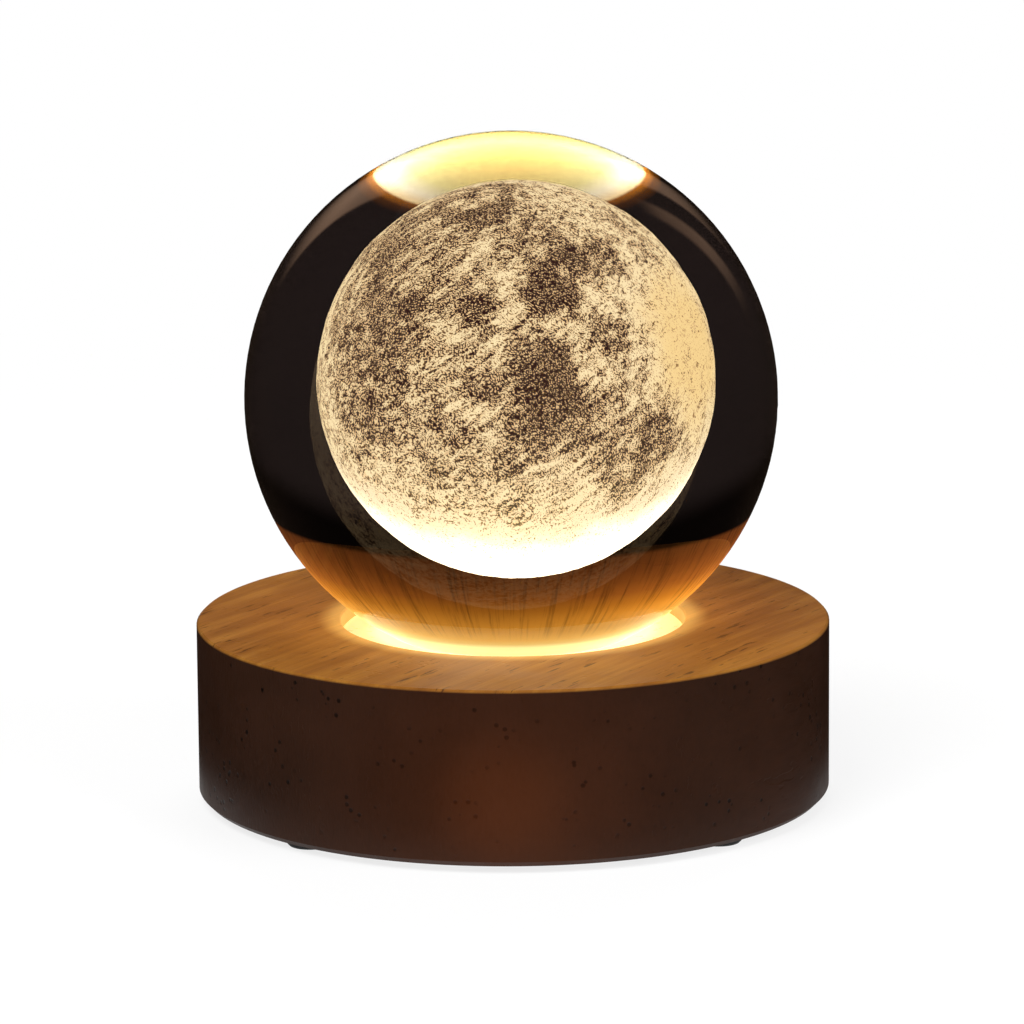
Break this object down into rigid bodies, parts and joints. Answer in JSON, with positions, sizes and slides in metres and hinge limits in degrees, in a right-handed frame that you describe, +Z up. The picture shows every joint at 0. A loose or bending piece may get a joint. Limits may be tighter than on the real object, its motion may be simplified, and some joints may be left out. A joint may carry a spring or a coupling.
{
  "type": "moon lamp",
  "caption": "Table lamp: a clear crystal ball with a moon engraved inside rests on a lit ring in a round wooden base, with a power socket and push-button at the back.",
  "frame": {"origin": "on the table under the middle of the round base, level with the undersides of the rubber feet", "axes": "+Z up along the base's axis; the power socket faces +Y, so the side seen in the picture faces -Y; +X is to the right from there"},
  "size_m": [0.0954, 0.0954, 0.1009],
  "materials": {
    "dark_wood": "satin oiled, dark stained side",
    "clear_silicone": "translucent",
    "crystal": "polished optical glass, smoked",
    "engraving": "white laser-engraved dots in the glass",
    "frosted_plastic": "frosted translucent",
    "white_plastic": "matt",
    "white_board": "solder-masked board",
    "green_board": "solder-masked board",
    "phosphor": "phosphor resin",
    "chip_ceramic": "matt",
    "black_plastic": "fine texture",
    "cover_plastic": "fine texture",
    "socket_steel": "drawn steel",
    "nickel": "bright nickel",
    "terminal_brass": "bright",
    "screw_steel": "zinc plated",
    "red_wire": "smooth",
    "black_wire": "smooth",
    "foot_rubber": "matt"
  },
  "bodies": {
    "base": {"wood_base": "dark_wood", "diffuser_disc": "frosted_plastic", "light_ring": "white_plastic", "led_board": "white_board", "led_1": "white_plastic", "led_2": "white_plastic", "led_3": "white_plastic", "led_4": "white_plastic", "led_5": "white_plastic", "led_6": "white_plastic", "led_lens_1": "phosphor", "led_lens_2": "phosphor", "led_lens_3": "phosphor", "led_lens_4": "phosphor", "led_lens_5": "phosphor", "led_lens_6": "phosphor", "resistor_1": "chip_ceramic", "resistor_2": "chip_ceramic", "resistor_3": "chip_ceramic", "socket_bezel": "black_plastic", "socket_shell": "socket_steel", "socket_tongue": "black_plastic", "socket_board": "green_board", "switch_barrel": "black_plastic", "switch_nut": "nickel", "switch_terminal_1": "terminal_brass", "switch_terminal_2": "terminal_brass", "lead_supply": "red_wire", "lead_switched": "red_wire", "lead_return": "black_wire", "bottom_cover": "cover_plastic", "cover_screw_1": "screw_steel", "cover_screw_2": "screw_steel", "cover_screw_3": "screw_steel", "rubber_foot_1": "foot_rubber", "rubber_foot_2": "foot_rubber", "rubber_foot_3": "foot_rubber", "rubber_foot_4": "foot_rubber"},
    "seat": {"seat_ring": "clear_silicone"},
    "ball": {"crystal_ball": "crystal", "engraved_moon": "engraving"},
    "button": {"button_cap": "nickel"}
  },
  "joints": [
    {"name": "ball_turn", "type": "hinge", "parent": "base", "child": "seat", "pos_m": [0, 0, 0.0239], "axis": [0, 0, 1], "continuous": true},
    {"name": "ball_lift", "type": "slide", "parent": "seat", "child": "ball", "axis": [0, 0, 1], "range_m": [0, 0.08]},
    {"name": "button_press", "type": "slide", "parent": "base", "child": "button", "axis": [-0.5299, -0.848, 0], "range_m": [0, 0.0015], "stiffness_N_per_m": 600, "springref_m": -0.001}
  ]
}
